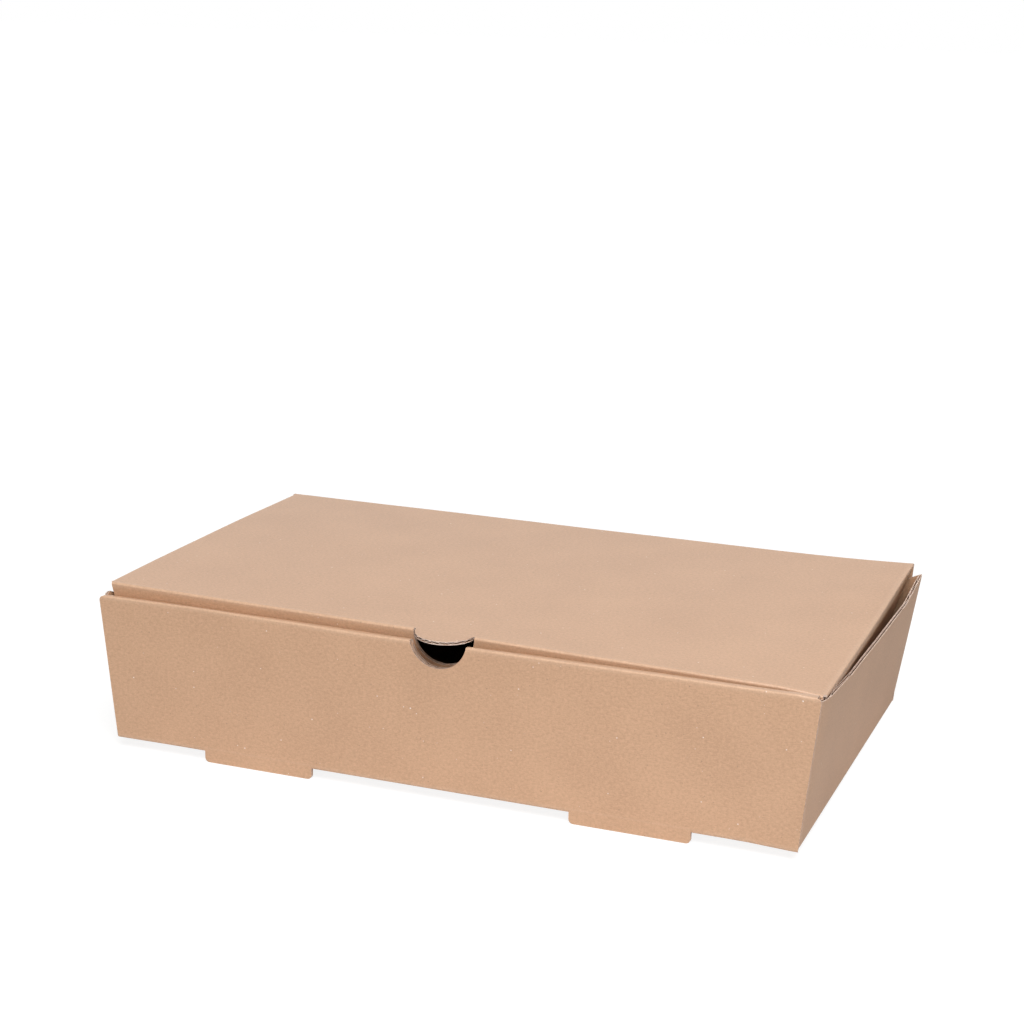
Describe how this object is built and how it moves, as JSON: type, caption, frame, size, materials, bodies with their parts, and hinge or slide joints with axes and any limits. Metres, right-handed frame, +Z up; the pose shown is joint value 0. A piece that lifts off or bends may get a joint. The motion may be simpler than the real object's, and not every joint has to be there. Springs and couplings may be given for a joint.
{
  "type": "fish and chips box",
  "caption": "Folded corrugated card takeaway box: a tray with flared side walls, a double front wall with a finger notch and foot tabs, and a hinged lid with a thumb tab.",
  "frame": {"origin": "centre of the bounding box at the surface that the box stands on", "axes": "+X along the box's length, to the right as seen from the front; +Y from the front wall, with the finger notch, to the hinged back wall; +Z up"},
  "size_m": [0.3164, 0.1842, 0.0702],
  "materials": {
    "board_tray": "plain brown kraft liner, matt, uncoated",
    "board_lid": "plain brown kraft liner, matt, uncoated"
  },
  "bodies": {
    "tray": {"tray": "board_tray"},
    "lid": {"lid": "board_lid"}
  },
  "joints": [
    {"name": "lid_hinge", "type": "hinge", "parent": "tray", "child": "lid", "pos_m": [0, 0.09216, 0.06543], "axis": [-1, 0, 0], "range_deg": [0, 180]}
  ]
}
